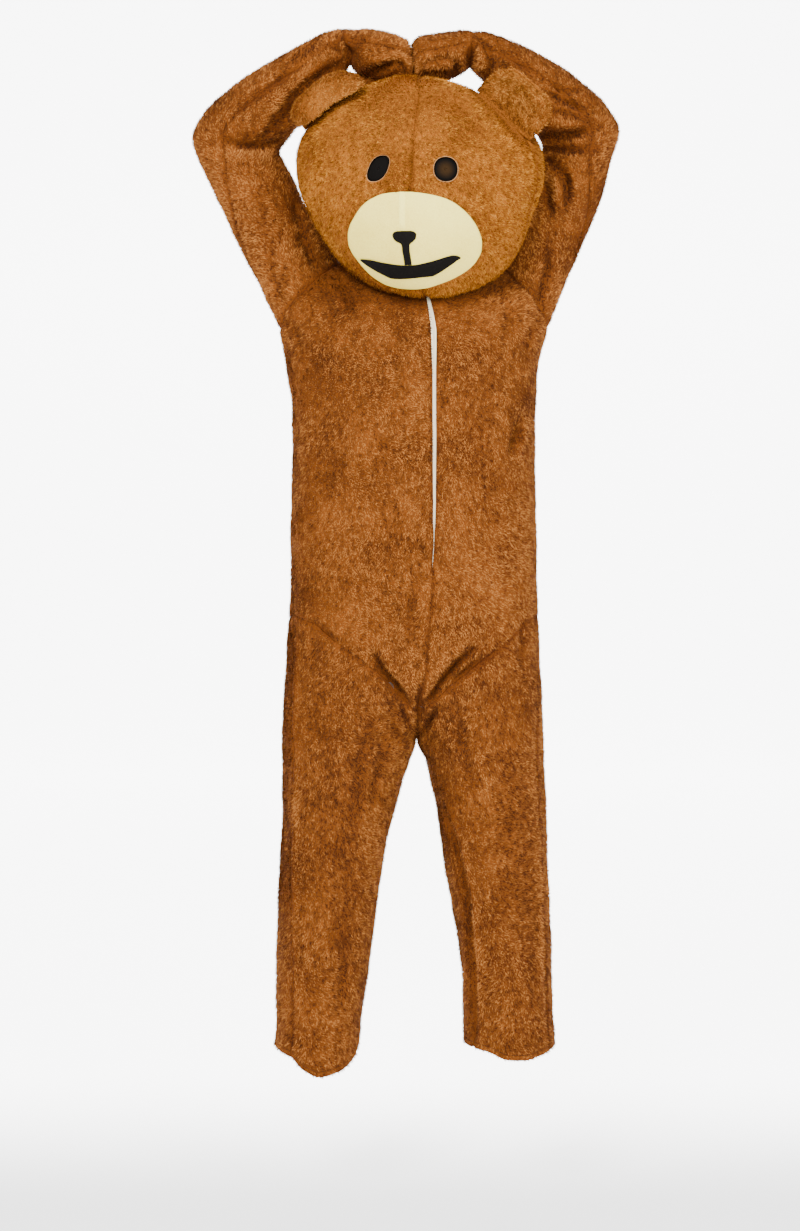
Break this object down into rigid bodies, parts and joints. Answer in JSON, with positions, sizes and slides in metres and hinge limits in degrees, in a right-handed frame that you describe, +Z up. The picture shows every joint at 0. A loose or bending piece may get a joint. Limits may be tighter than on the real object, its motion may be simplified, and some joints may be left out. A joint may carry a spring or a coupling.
{
  "type": "bear costume",
  "caption": "Hollow plush bear costume with arms raised: one-piece suit with a front zip, mittens, and a round bear head with ears and a cream muzzle.",
  "frame": {"origin": "middle of the wearer's neck at shoulder height, 1.440 m above the soles, where the costume is worn", "axes": "+Z up along the wearer's body, -Y towards the front of the costume, +X towards the wearer's left"},
  "size_m": [0.7028, 0.331, 1.7103],
  "materials": {
    "suit_plush": "short brown plush, brushed down, clumped in fine streaks",
    "head_plush": "short golden brown plush, a little lighter than the suit",
    "muzzle_felt": "cream brushed felt",
    "black_felt": "matt black felt",
    "eye_mesh": "dark open mesh, matt",
    "zip_tape_cloth": "cream woven tape with its coil"
  },
  "bodies": {
    "root": {"trunk_front_right": "suit_plush", "trunk_front_left": "suit_plush", "trunk_back_right": "suit_plush", "trunk_back_left": "suit_plush", "leg_front_right": "suit_plush", "leg_front_left": "suit_plush", "leg_back_right": "suit_plush", "leg_back_left": "suit_plush", "sleeve_front_right": "suit_plush", "sleeve_front_left": "suit_plush", "sleeve_back_right": "suit_plush", "sleeve_back_left": "suit_plush", "mitten_front_right": "suit_plush", "mitten_front_left": "suit_plush", "mitten_back_right": "suit_plush", "mitten_back_left": "suit_plush", "thumb_right": "suit_plush", "thumb_left": "suit_plush", "zip_tape": "zip_tape_cloth", "head_front_right": "head_plush", "head_front_left": "head_plush", "head_back_right": "head_plush", "head_back_left": "head_plush", "ear_left_front": "head_plush", "ear_left_back": "head_plush", "ear_right_outer": "head_plush", "ear_right_inner": "head_plush", "eye_mesh_right": "eye_mesh", "eye_mesh_left": "eye_mesh", "muzzle": "muzzle_felt", "nose": "black_felt", "mouth": "black_felt"}
  },
  "joints": []
}
